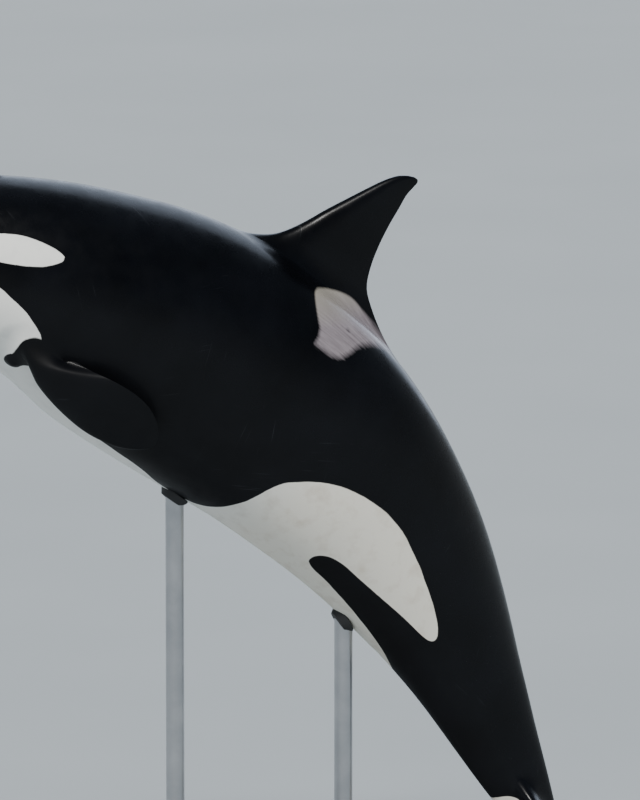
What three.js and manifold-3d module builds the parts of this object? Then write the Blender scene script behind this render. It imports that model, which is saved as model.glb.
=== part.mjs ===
// Orca at life size, arched in a low leap, held by a plain display stand.
// Millimetres, +Z up. The head points to -X, the animal's left side to -Y, and
// the XZ plane is its plane of symmetry. The origin is the centre of the base's underside.
import * as THREE from 'three';
import { mergeVertices } from 'three/addons/utils/BufferGeometryUtils.js';
import Module from 'manifold-3d';

const wasm = await Module();
wasm.setup();

// Whole animal
const LENGTH = 6500; // snout tip to the notch of the flukes, along the body
const GAP = 0.3; // room that meeting pieces keep
const BODY_STATION = 2340; // where the body's axis is pinned
const BODY_X = -150; // place of that point of the axis
const BODY_Z = 3650;
const AXIS_STEP = 10; // step of the traced axis
const AXIS_END = 7000;

// Slope of the body's axis, in degrees below level going towards the tail: station, slope
const SLOPE = [
  [0, 5], [1300, 20.4], [2275, 32], [3250, 43.7], [4225, 57.5], [5200, 65], [6100, 60], [6900, 54],
];

// Body outline: station, back over the axis, belly under it, half width
const PROFILE = [
  [0, 136, 122, 136], [90, 202, 172, 196], [195, 282, 226, 256], [390, 400, 308, 338],
  [585, 492, 376, 406], [780, 560, 434, 460], [1040, 620, 490, 520], [1300, 668, 566, 562],
  [1625, 722, 676, 594], [1950, 778, 726, 608], [2340, 812, 744, 606], [2730, 802, 728, 588],
  [3120, 774, 690, 552], [3510, 712, 642, 500], [3900, 630, 572, 428], [4290, 546, 490, 348],
  [4680, 452, 400, 267], [5070, 362, 312, 193], [5460, 286, 238, 137], [5850, 205, 168, 95],
  [6175, 118, 98, 70], [6500, 34, 30, 46],
];
const SNOUT_ROUND = 180; // length over which the snout closes to a blunt end
const KEEL_FROM = 4300; // the tail stock's back and belly narrow to keels from here
const KEEL = 0.28; // share of the width that the keels take away

// Lengths of the body behind the head: first and last station, steps
const HEAD_END = 1070;
const LENGTHS = {
  chest: [HEAD_END, 2150 - GAP, 9],
  torso: [2150, 3560 - GAP, 12],
  loin: [3560, 4780 - GAP, 10],
  tail_stock: [4780, 6400, 14],
};
const RING_SIDES = 40;

// Mouth: height of its line against the axis by station, and the lips
const MOUTH_LINE = [[0, -8], [90, -34], [250, -62], [420, -72], [540, -58], [600, -46]];
const MOUTH_END = 592;
const MOUTH_ROUND = 60; // length over which the line leaves the snout's tip
const MOUTH_STATIONS = [8, 30, 65, 110, 170, 240, 320, 400, 470, 530, MOUTH_END];
const LIP_FRONT = 24; // radius of the lips at the front
const LIP_BACK = 9; // and at the corners of the mouth
const LIP_ROUND = 72; // length over which the lips grow from the snout's tip
const LIP_ROLL = { height: 0.3, inset: 0.35, foot: 1.1 }; // roll of a lip, in lip radii
const HEAD_ARC = 30; // facets of the head's ring above the mouth
const JAW_ARC = 14; // facets of the jaw's ring below it
const PALATE = 10; // facets across the mouth

// Eyes
const EYE_STATION = 660;
const EYE_TURN = 84; // degrees down from the middle of the back
const EYE_RADIUS = 34;
const EYE_SINK = 25; // depth of the eye's centre under the skin
const LID_LONG = 31; // half sizes of the ring of the lids
const LID_TALL = 20;
const LID_THICK = 8;
const LID_FACETS = { around: 24, across: 6 };

// Blowhole: a crescent slit, its hollow side forward
const BLOWHOLE_STATION = 800;
const BLOWHOLE_RADIUS = 52;
const BLOWHOLE_WIDTH = 11;
const BLOWHOLE_DEPTH = 16;
const BLOWHOLE_HALF_ANGLE = 72;

// Dorsal fin, square to the axis at its station: height over the axis, front edge,
// rear edge (both aft of the station), full thickness
const FIN_STATION = 2600;
const FIN = [
  [600, -520, 900, 250], [760, -430, 700, 190], [850, -310, 520, 160], [930, -232, 418, 140],
  [1040, -158, 362, 124], [1180, -84, 326, 108], [1320, -4, 306, 92], [1440, 66, 298, 76],
  [1530, 122, 291, 60], [1595, 176, 300, 46], [1630, 226, 304, 34], [1645, 262, 296, 26],
];
const FIN_HEIGHTS = [
  640, 730, 800, 850, 900, 960, 1040, 1140, 1240, 1340, 1430, 1510, 1570, 1610, 1632, 1645,
];

// Flippers: blade swept back along the flank. Share of the length, front edge aft and down,
// rear edge aft and down, height of the middle over the skin, full thickness
const FLIPPER_STATION = 1090;
const FLIPPER_TURN = 127; // degrees down from the middle of the back
const FLIPPER = [
  [0, 40, 0, 370, -50, -120, 140], [0.1, 20, -10, 400, -70, -24, 140],
  [0.2, 62, 32, 460, -112, 36, 124], [0.32, 160, 90, 560, -158, 76, 100],
  [0.45, 296, 148, 680, -182, 100, 80], [0.6, 480, 194, 815, -176, 107, 68],
  [0.75, 700, 226, 940, -136, 104, 58], [0.88, 910, 204, 1046, -64, 108, 43],
  [0.96, 1036, 150, 1102, 8, 110, 30], [1, 1096, 100, 1116, 54, 110, 20],
];
const FLIPPER_OVAL = [0.05, 0.42]; // shares between which its oval root turns into a blade
const FLIPPER_SHARES = [0, 0.07, 0.14, 0.22, 0.32, 0.42, 0.53, 0.64, 0.74, 0.83, 0.9, 0.95, 0.98, 1];

// Flukes, level with the axis at their station: distance out from the middle,
// front edge and rear edge (stations), full thickness
const FLUKE_STATION = 6100;
const FLUKE = [
  [0, 5740, 6500, 150], [70, 5765, 6540, 140], [150, 5838, 6570, 116], [270, 5940, 6578, 92],
  [400, 6044, 6574, 76], [530, 6160, 6576, 62], [650, 6272, 6592, 50], [750, 6376, 6616, 38],
  [820, 6470, 6642, 28], [862, 6550, 6662, 20], [882, 6610, 6670, 14],
];
const FLUKE_OUTS = [GAP / 2, 50, 110, 180, 260, 350, 440, 530, 620, 700, 765, 815, 850, 872, 882];
const FLUKE_DROOP = 50; // how far the tips hang below the middle
const CHORD_STEPS = 12; // facets along a blade's chord

// Stand
const BASE = { length: 3300, width: 2200, height: 110, corner: 90, bevel: 12 };
const ROD_RADIUS = 55;
const RODS = [
  { name: 'front', x: -260, meets: 'torso' },
  { name: 'rear', x: 800, meets: 'loin' },
];
const FLANGE = { radius: 190, height: 36, bevel: 8 };

const COLOURS = {
  black: { color: 0x10141a, roughness: 0.32, metalness: 0 },
  eye: { color: 0x1b130f, roughness: 0.08, metalness: 0 },
  base: { color: 0x8d9296, roughness: 0.6, metalness: 0 },
  steel: { color: 0xa4a8ac, roughness: 0.35, metalness: 0.9 },
};

const rad = THREE.MathUtils.degToRad;

// Smooth curve through a table's rows, read from one column at x
function smooth(rows, column, x) {
  const last = rows.length - 1;
  const slopeAt = (i) => {
    const a = rows[Math.max(i - 1, 0)];
    const b = rows[Math.min(i + 1, last)];
    return (b[column] - a[column]) / (b[0] - a[0]);
  };
  if (x >= rows[last][0]) {
    return rows[last][column] + (x - rows[last][0]) * slopeAt(last);
  }
  const i = Math.max(0, rows.findIndex((row) => row[0] > x) - 1);
  const span = rows[i + 1][0] - rows[i][0];
  const t = (x - rows[i][0]) / span;
  const start = (1 + 2 * t) * (1 - t) ** 2 * rows[i][column] + t * (1 - t) ** 2 * span * slopeAt(i);
  const end = t * t * (3 - 2 * t) * rows[i + 1][column] - t * t * (1 - t) * span * slopeAt(i + 1);
  return start + end;
}

// The body's axis: place of its points at every step along the body
function traceAxis() {
  const points = [{ x: 0, z: 0 }];
  for (let s = 0; s < AXIS_END; s += AXIS_STEP) {
    const slope = rad(smooth(SLOPE, 1, s + AXIS_STEP / 2));
    const last = points[points.length - 1];
    points.push({
      x: last.x + Math.cos(slope) * AXIS_STEP,
      z: last.z - Math.sin(slope) * AXIS_STEP,
    });
  }
  const pin = points[BODY_STATION / AXIS_STEP];
  return points.map((p) => ({ x: p.x - pin.x + BODY_X, z: p.z - pin.z + BODY_Z }));
}

const AXIS = traceAxis();

// Frame of the body at a station: axis point, directions aft and up
function frameAt(station) {
  const slope = rad(smooth(SLOPE, 1, station));
  const i = Math.min(Math.floor(station / AXIS_STEP), AXIS.length - 2);
  const t = station / AXIS_STEP - i;
  const x = AXIS[i].x * (1 - t) + AXIS[i + 1].x * t;
  const z = AXIS[i].z * (1 - t) + AXIS[i + 1].z * t;
  return {
    centre: new THREE.Vector3(x, 0, z),
    aft: new THREE.Vector3(Math.cos(slope), 0, -Math.sin(slope)),
    up: new THREE.Vector3(Math.sin(slope), 0, Math.cos(slope)),
  };
}

// Half sizes of the body's section at a station
function sectionAt(station) {
  const t = Math.min(station / SNOUT_ROUND, 1);
  const close = Math.sqrt(1 - (1 - t) ** 2);
  const keel = KEEL * THREE.MathUtils.smoothstep(station, KEEL_FROM, LENGTH);
  return {
    back: smooth(PROFILE, 1, station) * close,
    belly: smooth(PROFILE, 2, station) * close,
    side: smooth(PROFILE, 3, station) * close,
    keel,
  };
}

// Point of the skin: turn in radians down from the middle of the back, towards the left
function skin(station, turn, grow = 0) {
  const { back, belly, side, keel } = sectionAt(station);
  const c = Math.cos(turn);
  const height = (c > 0 ? back + grow : belly + grow) * c;
  const out = (side + grow) * Math.sin(turn) * (1 - keel * c * c);
  return place(station, height, -out);
}

function place(station, height, across) {
  const f = frameAt(station);
  return f.centre.addScaledVector(f.up, height).add(new THREE.Vector3(0, across, 0));
}

// Outward normal and the directions aft and down of the skin
function skinFrame(station, turn) {
  const point = skin(station, turn);
  const aft = skin(station + 5, turn).sub(point).normalize();
  const down = skin(station, turn + 0.01).sub(point).normalize();
  const out = new THREE.Vector3().crossVectors(down, aft).normalize();
  if (out.y > 0 === Math.sin(turn) > 0) out.negate();
  return { point, aft, down, out };
}

// Closed surface from a list of equal rings, with a fan over each end
function loft(rings) {
  const count = rings[0].length;
  const positions = rings.flat().flatMap((p) => [p.x, p.y, p.z]);
  const index = [];
  for (let i = 0; i < rings.length - 1; i++) {
    for (let j = 0; j < count; j++) {
      const k = (j + 1) % count;
      const [a, b] = [i * count + j, i * count + k];
      index.push(a, b, a + count, b, b + count, a + count);
    }
  }
  for (const [ring, turned] of [[0, true], [rings.length - 1, false]]) {
    const centre = positions.length / 3;
    const mean = rings[ring].reduce((sum, p) => sum.add(p), new THREE.Vector3());
    mean.divideScalar(count);
    positions.push(mean.x, mean.y, mean.z);
    for (let j = 0; j < count; j++) {
      const [a, b] = [ring * count + j, ring * count + ((j + 1) % count)];
      index.push(...(turned ? [a, centre, b] : [a, b, centre]));
    }
  }
  return facingOut(positions, index);
}

// Thin blade from sections of paired points: both faces are split alike
function blade(sections) {
  const columns = sections[0].length;
  const positions = [];
  const front = [];
  const back = [];
  for (const section of sections) {
    const rowFront = [];
    const rowBack = [];
    section.forEach((pair, j) => {
      rowFront.push(positions.length / 3);
      positions.push(pair[0].x, pair[0].y, pair[0].z);
      if (j === 0 || j === columns - 1) {
        rowBack.push(rowFront[j]);
      } else {
        rowBack.push(positions.length / 3);
        positions.push(pair[1].x, pair[1].y, pair[1].z);
      }
    });
    front.push(rowFront);
    back.push(rowBack);
  }
  const index = [];
  for (let i = 0; i < sections.length - 1; i++) {
    for (let j = 0; j < columns - 1; j++) {
      const f = [front[i][j], front[i][j + 1], front[i + 1][j], front[i + 1][j + 1]];
      const b = [back[i][j], back[i][j + 1], back[i + 1][j], back[i + 1][j + 1]];
      index.push(f[0], f[1], f[3], f[0], f[3], f[2]);
      index.push(b[0], b[3], b[1], b[0], b[2], b[3]);
    }
  }
  for (const [i, turned] of [[0, false], [sections.length - 1, true]]) {
    for (let j = 0; j < columns - 1; j++) {
      const [a, b, c, d] = [front[i][j], front[i][j + 1], back[i][j + 1], back[i][j]];
      const triangles = [[a, c, b], [a, d, c]].filter((t) => new Set(t).size === 3);
      for (const t of triangles) index.push(...(turned ? [t[0], t[2], t[1]] : t));
    }
  }
  return facingOut(positions, index);
}

// Geometry from lists, turned inside out where its volume is negative
function facingOut(positions, index) {
  let volume = 0;
  const at = (i) => new THREE.Vector3().fromArray(positions, 3 * i);
  for (let i = 0; i < index.length; i += 3) {
    volume += at(index[i]).dot(at(index[i + 1]).cross(at(index[i + 2])));
  }
  if (volume < 0) index.reverse();
  const geometry = new THREE.BufferGeometry();
  geometry.setAttribute('position', new THREE.Float32BufferAttribute(positions, 3));
  geometry.setIndex(index);
  return geometry;
}

function toSolid(geometry) {
  const bare = geometry.clone();
  bare.deleteAttribute('normal');
  bare.deleteAttribute('uv');
  const merged = mergeVertices(bare, 1e-3);
  return new wasm.Manifold(new wasm.Mesh({
    numProp: 3,
    vertProperties: new Float32Array(merged.attributes.position.array),
    triVerts: new Uint32Array(merged.index.array),
  }));
}

// Largest closed surface of a solid, as a geometry
function toGeometry(solid) {
  const pieces = solid.decompose();
  pieces.sort((a, b) => b.volume() - a.volume());
  const mesh = pieces[0].getMesh();
  const geometry = new THREE.BufferGeometry();
  geometry.setAttribute('position', new THREE.Float32BufferAttribute(mesh.vertProperties, 3));
  geometry.setIndex(new THREE.BufferAttribute(new Uint32Array(mesh.triVerts), 1));
  return geometry;
}

// Evenly spaced numbers from a to b
function spread(a, b, count) {
  return Array.from({ length: count + 1 }, (_, i) => a + ((b - a) * i) / count);
}

// Angles of a full turn in equal steps
function turnsRound(steps) {
  return spread(0, 2 * Math.PI, steps).slice(0, -1);
}

// Length of the body between two stations
function bodyLength(name, grow = 0) {
  const [from, to, steps] = LENGTHS[name];
  const turns = turnsRound(RING_SIDES);
  return loft(spread(from, to + grow, steps).map((s) => turns.map((t) => skin(s, t, grow))));
}

// What is left of a piece outside a length of the body and the gap round it
function cutAt(name, geometry) {
  return toGeometry(toSolid(geometry).subtract(toSolid(bodyLength(name, GAP))));
}

function lipRadius(station) {
  return THREE.MathUtils.lerp(LIP_FRONT, LIP_BACK, Math.min(station / MOUTH_END, 1))
    * Math.min(1, station / LIP_ROUND);
}

// Turn at which the skin is at a height over the axis
function turnAt(station, height) {
  const { back, belly } = sectionAt(station);
  const most = 0.97;
  return Math.acos(THREE.MathUtils.clamp(height / (height > 0 ? back : belly), -most, most));
}

// Ring of the head above the mouth, or of the jaw below it: an arc of skin closed by the
// lips and the mouth's plane
function jawRing(station, above) {
  const line = smooth(MOUTH_LINE, 1, station) * Math.min(1, station / MOUTH_ROUND);
  const lip = lipRadius(station);
  const edge = line + (above ? lip : -lip);
  const edgeTurn = turnAt(station, edge);
  const width = sectionAt(station).side * Math.sin(turnAt(station, line));
  const face = line + (above ? GAP / 2 : -GAP / 2);
  const roll = line + (edge - line) * LIP_ROLL.height;
  const rollOut = width - lip * LIP_ROLL.inset;
  const foot = width - lip * LIP_ROLL.foot;
  const arc = above
    ? spread(-edgeTurn, edgeTurn, HEAD_ARC)
    : spread(edgeTurn, 2 * Math.PI - edgeTurn, JAW_ARC);
  const first = above ? -1 : 1;
  const ring = arc.map((t) => skin(station, t));
  ring.push(place(station, roll, first * rollOut));
  for (const y of spread(foot, -foot, PALATE)) ring.push(place(station, face, first * y));
  ring.push(place(station, roll, -first * rollOut));
  return ring;
}

// Ring of the head behind the mouth, with as many points as a ring above it
function closedRing(station) {
  const turn = turnAt(station, smooth(MOUTH_LINE, 1, MOUTH_END) + LIP_BACK);
  const upper = spread(-turn, turn, HEAD_ARC);
  const lower = spread(turn, 2 * Math.PI - turn, PALATE + 4).slice(1, -1);
  return [...upper, ...lower].map((t) => skin(station, t));
}

function cranium() {
  const behind = [MOUTH_END + GAP, ...spread(MOUTH_END + 48, HEAD_END - GAP, 6)];
  return loft([...MOUTH_STATIONS.map((s) => jawRing(s, true)), ...behind.map(closedRing)]);
}

function lowerJaw() {
  const stations = MOUTH_STATIONS.slice(0, -1).concat(MOUTH_END - GAP);
  return loft(stations.map((s) => jawRing(s, false)));
}

// Ring of lids, laid on the skin round an eye
function lidRing(side) {
  const { point, aft, down, out } = skinFrame(EYE_STATION, side * rad(EYE_TURN));
  const level = new THREE.Vector3().crossVectors(out, down).normalize();
  if (level.dot(aft) < 0) level.negate();
  const rings = turnsRound(LID_FACETS.around).map((a) => {
    const spoke = new THREE.Vector3();
    spoke.addScaledVector(level, LID_LONG * Math.cos(a)).addScaledVector(down, LID_TALL * Math.sin(a));
    const reach = spoke.length();
    spoke.normalize();
    return turnsRound(LID_FACETS.across).map((b) => point.clone()
      .addScaledVector(spoke, reach + LID_THICK * Math.cos(b))
      .addScaledVector(out, LID_THICK * Math.sin(b)));
  });
  return torus(rings);
}

// Closed chain of rings
function torus(rings) {
  const count = rings[0].length;
  const positions = rings.flat().flatMap((p) => [p.x, p.y, p.z]);
  const index = [];
  for (let i = 0; i < rings.length; i++) {
    const next = ((i + 1) % rings.length) * count;
    for (let j = 0; j < count; j++) {
      const k = (j + 1) % count;
      const [a, b, c, d] = [i * count + j, i * count + k, next + j, next + k];
      index.push(a, b, c, b, d, c);
    }
  }
  return facingOut(positions, index);
}

function eyeball(side, grow) {
  const { point, out } = skinFrame(EYE_STATION, side * rad(EYE_TURN));
  const ball = new THREE.SphereGeometry(EYE_RADIUS + grow, 18, 12);
  const centre = point.addScaledVector(out, -EYE_SINK);
  return ball.translate(centre.x, centre.y, centre.z);
}

function blowhole() {
  const f = skinFrame(BLOWHOLE_STATION, 0);
  const half = rad(BLOWHOLE_HALF_ANGLE);
  const shape = new THREE.Shape();
  shape.absarc(0, 0, BLOWHOLE_RADIUS + BLOWHOLE_WIDTH / 2, -half, half, false);
  shape.absarc(0, 0, BLOWHOLE_RADIUS - BLOWHOLE_WIDTH / 2, half, -half, true);
  const slit = new THREE.ExtrudeGeometry(shape, {
    depth: BLOWHOLE_DEPTH * 3, bevelEnabled: false, curveSegments: 12,
  });
  const across = new THREE.Vector3(0, 1, 0);
  const up = new THREE.Vector3().crossVectors(f.aft, across);
  slit.applyMatrix4(new THREE.Matrix4().makeBasis(f.aft, across, up));
  const start = f.point.addScaledVector(up, -BLOWHOLE_DEPTH);
  return slit.translate(start.x, start.y, start.z);
}

function head() {
  let solid = toSolid(cranium());
  for (const side of [1, -1]) {
    solid = solid.add(toSolid(lidRing(side))).subtract(toSolid(eyeball(side, GAP)));
  }
  return toGeometry(solid.subtract(toSolid(blowhole())));
}

// Half thickness of a blade at a share of its chord, over its full thickness: the usual
// formula of a symmetrical wing section, thickest at three tenths of the chord
function foil(u) {
  return 5 * (0.2969 * Math.sqrt(u) - 0.126 * u - 0.3516 * u ** 2 + 0.2843 * u ** 3 - 0.1036 * u ** 4);
}

// Pairs of points across a chord: along it, and off it to both sides. The section goes
// from a wing's (oval 0) to an oval one (oval 1)
function chordPairs(front, rear, thickness, off, oval = 0) {
  return spread(0, Math.PI, CHORD_STEPS).map((a) => {
    const u = (1 - Math.cos(a)) / 2;
    const middle = front.clone().lerp(rear, u);
    const half = thickness * THREE.MathUtils.lerp(foil(u), Math.sqrt(u * (1 - u)), oval);
    return [1, -1].map((side) => middle.clone().addScaledVector(off, side * half));
  });
}

function dorsalFin() {
  const f = frameAt(FIN_STATION);
  const off = new THREE.Vector3(0, 1, 0);
  const at = (aft, up) => f.centre.clone().addScaledVector(f.aft, aft).addScaledVector(f.up, up);
  const sections = FIN_HEIGHTS.map((h) => {
    const [front, rear, thickness] = [1, 2, 3].map((column) => smooth(FIN, column, h));
    return chordPairs(at(front, h), at(rear, h), thickness, off);
  });
  return cutAt('torso', blade(sections));
}

function flipper(side) {
  const sections = FLIPPER_SHARES.map((t) => {
    const value = (column) => smooth(FLIPPER, column, t);
    const at = (aft, down) => {
      const f = skinFrame(FLIPPER_STATION + aft, side * rad(FLIPPER_TURN));
      return f.point.addScaledVector(f.down, side * down).addScaledVector(f.out, value(5));
    };
    const front = at(value(1), value(2));
    const rear = at(value(3), value(4));
    const middle = skinFrame(FLIPPER_STATION + (value(1) + value(3)) / 2, side * rad(FLIPPER_TURN));
    const oval = 1 - THREE.MathUtils.smoothstep(t, ...FLIPPER_OVAL);
    return chordPairs(front, rear, value(6), middle.out, oval);
  });
  return cutAt('chest', blade(sections));
}

function fluke(side) {
  const f = frameAt(FLUKE_STATION);
  const tip = FLUKE[FLUKE.length - 1][0];
  const sections = FLUKE_OUTS.map((y) => {
    const [front, rear, thickness] = [1, 2, 3].map((column) => smooth(FLUKE, column, y));
    const at = (station) => f.centre.clone()
      .addScaledVector(f.aft, station - FLUKE_STATION)
      .addScaledVector(f.up, -FLUKE_DROOP * (y / tip) ** 2)
      .add(new THREE.Vector3(0, -side * y, 0));
    return chordPairs(at(front), at(rear), thickness, f.up);
  });
  return cutAt('tail_stock', blade(sections));
}

// Stand
function standBase() {
  const { length, width, height, corner, bevel } = BASE;
  const [x, y] = [length / 2 - bevel, width / 2 - bevel];
  const shape = new THREE.Shape();
  shape.absarc(x - corner, y - corner, corner, 0, Math.PI / 2, false);
  shape.absarc(-x + corner, y - corner, corner, Math.PI / 2, Math.PI, false);
  shape.absarc(-x + corner, -y + corner, corner, Math.PI, 1.5 * Math.PI, false);
  shape.absarc(x - corner, -y + corner, corner, 1.5 * Math.PI, 2 * Math.PI, false);
  const plate = new THREE.ExtrudeGeometry(shape, {
    depth: height - 2 * bevel, curveSegments: 6,
    bevelThickness: bevel, bevelSize: bevel, bevelSegments: 1,
  });
  return toGeometry(toSolid(plate.translate(0, 0, bevel)));
}

function standFlange(x) {
  const { radius, height, bevel } = FLANGE;
  const profile = [
    [ROD_RADIUS + GAP, 0], [radius, 0], [radius, height - bevel],
    [radius - bevel, height], [ROD_RADIUS + GAP, height], [ROD_RADIUS + GAP, 0],
  ].map(([r, z]) => new THREE.Vector2(r, z));
  const ring = new THREE.LatheGeometry(profile, 32).rotateX(Math.PI / 2);
  return toGeometry(toSolid(ring.translate(x, 0, BASE.height + GAP)));
}

function standRod(x, meets) {
  const bottom = BASE.height + GAP;
  const rod = new THREE.CylinderGeometry(ROD_RADIUS, ROD_RADIUS, BODY_Z - bottom, 32);
  rod.rotateX(Math.PI / 2).translate(x, 0, (BODY_Z + bottom) / 2);
  const pieces = toSolid(rod).subtract(toSolid(bodyLength(meets, GAP))).decompose();
  pieces.sort((a, b) => a.boundingBox().min[2] - b.boundingBox().min[2]);
  return toGeometry(pieces[0]);
}

const model = new THREE.Group();

function addNode(name, geometry, look) {
  const mesh = new THREE.Mesh(geometry, new THREE.MeshStandardMaterial(COLOURS[look]));
  mesh.name = name;
  model.add(mesh);
}

addNode('head', head(), 'black');
addNode('lower_jaw', lowerJaw(), 'black');
for (const name of Object.keys(LENGTHS)) {
  addNode(name, bodyLength(name), 'black');
}
addNode('dorsal_fin', dorsalFin(), 'black');
for (const [name, side] of [['left', 1], ['right', -1]]) {
  addNode(`eye_${name}`, eyeball(side, 0), 'eye');
  addNode(`flipper_${name}`, flipper(side), 'black');
  addNode(`fluke_${name}`, fluke(side), 'black');
}
addNode('stand_base', standBase(), 'base');
for (const { name, x, meets } of RODS) {
  addNode(`stand_flange_${name}`, standFlange(x), 'steel');
  addNode(`stand_rod_${name}`, standRod(x, meets), 'steel');
}

export default model;
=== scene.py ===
import math

import bmesh
import bpy
import numpy as np
from mathutils import Matrix, Vector
from mathutils.kdtree import KDTree


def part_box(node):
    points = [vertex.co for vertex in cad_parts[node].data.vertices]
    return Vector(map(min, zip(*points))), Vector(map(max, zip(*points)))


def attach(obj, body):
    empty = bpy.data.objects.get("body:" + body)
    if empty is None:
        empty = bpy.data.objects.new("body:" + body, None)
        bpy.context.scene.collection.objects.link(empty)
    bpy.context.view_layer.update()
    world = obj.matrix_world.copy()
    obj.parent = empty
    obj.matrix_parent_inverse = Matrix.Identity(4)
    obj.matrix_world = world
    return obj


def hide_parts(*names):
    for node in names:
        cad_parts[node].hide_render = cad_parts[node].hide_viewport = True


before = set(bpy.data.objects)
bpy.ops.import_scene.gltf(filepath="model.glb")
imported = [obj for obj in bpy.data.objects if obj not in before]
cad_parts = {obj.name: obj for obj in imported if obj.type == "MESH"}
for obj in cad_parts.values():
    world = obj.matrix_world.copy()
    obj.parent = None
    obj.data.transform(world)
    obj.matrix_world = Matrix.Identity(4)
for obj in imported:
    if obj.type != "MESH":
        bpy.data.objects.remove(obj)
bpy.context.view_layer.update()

# Orca at life size on a display stand. The tables are in millimetres, as the solids are,
# and the meshes are in metres. The head points to -X, the left side to -Y.
# After the tables come the body's curves, the relief of its skin, the meshes and their joins,
# the markings, the materials, the pieces, and the camera and lights.
MM = 0.001
LENGTH = 6500
BODY_STATION = 2340
BODY_X = -150
BODY_Z = 3650

# Slope of the body's axis, in degrees below level going towards the tail: station, slope
SLOPE = [
    (0, 5), (1300, 20.4), (2275, 32), (3250, 43.7), (4225, 57.5), (5200, 65), (6100, 60), (6900, 54),
]
# Body outline: station, back over the axis, belly under it, half width
PROFILE = [
    (0, 136, 122, 136), (90, 202, 172, 196), (195, 282, 226, 256), (390, 400, 308, 338),
    (585, 492, 376, 406), (780, 560, 434, 460), (1040, 620, 490, 520), (1300, 668, 566, 562),
    (1625, 722, 676, 594), (1950, 778, 726, 608), (2340, 812, 744, 606), (2730, 802, 728, 588),
    (3120, 774, 690, 552), (3510, 712, 642, 500), (3900, 630, 572, 428), (4290, 546, 490, 348),
    (4680, 452, 400, 267), (5070, 362, 312, 193), (5460, 286, 238, 137), (5850, 205, 168, 95),
    (6175, 118, 98, 70), (6500, 34, 30, 46),
]
SNOUT_ROUND = 180  # station where the snout's round front ends
KEEL_FROM = 4300  # station from which the tail stock narrows towards its top and bottom edge
KEEL = 0.28
AXIS_STEP = 10
AXIS_END = 7000
HEAD_END = 1140  # ahead of it the skin's mesh is finer

# Mouth, eyes and blowhole
MOUTH_LINE = [(0, -8), (90, -34), (250, -62), (420, -72), (540, -58), (600, -46)]
MOUTH_END = 592
EYE_STATION = 660
EYE_TURN = 84
EYE_RADIUS = 34
EYE_SINK = 25
EYE_LONG = 24  # half sizes of the open eye
EYE_TALL = 14
CORNEA_SINK = 0.4
BLOWHOLE_STATION = 800
BLOWHOLE_RADIUS = 52
BLOWHOLE_HALF_ANGLE = 72  # its slit is an arc behind the plug, this far round to each side

# Relief of the skin: height (below 0 for a hollow), place across it, half width
MOUTH_GROOVE = (-15, 0, 6.5)
UPPER_LIP = (5.5, -19, 12)
LOWER_LIP = (7, 17, 12)
CHIN_GROOVE = (-5, 52, 22)
MOUTH_CORNER = (-5, 22, 14)  # along the body, from the mouth's end
EYE_HOLLOW = 34
EYE_RIM = (0.9, 1.06)
LID = (6.5, 1.34, 0.3)  # the eye's rings are measured in its open half sizes
CORNEA = (1.4, 0, 0.5)  # across the eyeball in radians
BROW = (9, 0, 62)
EYE_SWELL = (3, 0, 90)
# Creases of the lids: form across the rings, from where to where it grows, down from the eye's middle
EYE_CREASES = [
    ((-3.2, 1.95, 0.17), (8, -6)), ((-2.2, 1.9, 0.16), (0, 14)), ((-1.8, 2.7, 0.2), (4, -20)),
]
# Folds at the eye's corners: form, slope, from where to where they grow and end along the body
EYE_FOLDS = [
    ((-2.6, 6, 4), 0.12, (-26, -34), (-78, -60)), ((-2.6, -2, 4), 0.1, (26, 34), (80, 60)),
]
BLOWHOLE_SLIT = (-15, BLOWHOLE_RADIUS, 5.5)
BLOWHOLE_LIP = (4.5, BLOWHOLE_RADIUS + 15, 10)
BLOWHOLE_PLUG = (5, 0, 36)
BLOWHOLE_MOUND = (7, 0, 130)
NAVEL_STATION = 3060
NAVEL = (-7, 0, 13)
NAVEL_STRETCH = 2.2
SLIT_STATIONS = (4290, 4600)
SLIT = (-8, 0, 5)
SLIT_ROLL = (4, 15, 10)
ROOT_SWELL = (16, 0, 190)
FOLD_LOBE = (34, 0, 0.8)  # across the fold's ring, which is 1 at its rim
ROOT_RIPPLES = [(-3.2, 232, 7), (-2.4, 262, 7), (-1.6, 294, 7)]

# Dorsal fin: height over the axis, front edge, rear edge, full thickness
FIN_STATION = 2600
FIN = [
    (600, -520, 900, 250), (760, -430, 700, 190), (850, -310, 520, 160), (930, -232, 418, 140),
    (1040, -158, 362, 124), (1180, -84, 326, 108), (1320, -4, 306, 92), (1440, 66, 298, 76),
    (1530, 122, 291, 60), (1595, 176, 300, 46), (1630, 226, 304, 34), (1645, 262, 296, 26),
]
FIN_FOOT = 640

# Flippers: share of the length, front edge aft and down, rear edge aft and down,
# height of the middle over the skin, full thickness
FLIPPER_STATION = 1090
FLIPPER_TURN = 127
FLIPPER = [
    (0, 40, 0, 370, -50, -120, 140), (0.1, 20, -10, 400, -70, -24, 140),
    (0.2, 62, 32, 460, -112, 36, 124), (0.32, 160, 90, 560, -158, 76, 100),
    (0.45, 296, 148, 680, -182, 100, 80), (0.6, 480, 194, 815, -176, 107, 68),
    (0.75, 700, 226, 940, -136, 104, 58), (0.88, 910, 204, 1046, -64, 108, 43),
    (0.96, 1036, 150, 1102, 8, 110, 30), (1, 1096, 100, 1116, 54, 110, 20),
]
FLIPPER_OVAL = (0.05, 0.42)  # shares between which its oval root turns into a blade

# Flukes: distance out, front edge and rear edge by station, full thickness
FLUKE_STATION = 6100
FLUKE = [
    (0, 5740, 6500, 150), (70, 5765, 6540, 140), (150, 5838, 6570, 116), (270, 5940, 6578, 92),
    (400, 6044, 6574, 76), (530, 6160, 6576, 62), (650, 6272, 6592, 50), (750, 6376, 6616, 38),
    (820, 6470, 6642, 28), (862, 6550, 6662, 20), (882, 6610, 6670, 14),
]
FLUKE_DROOP = 50

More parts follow.
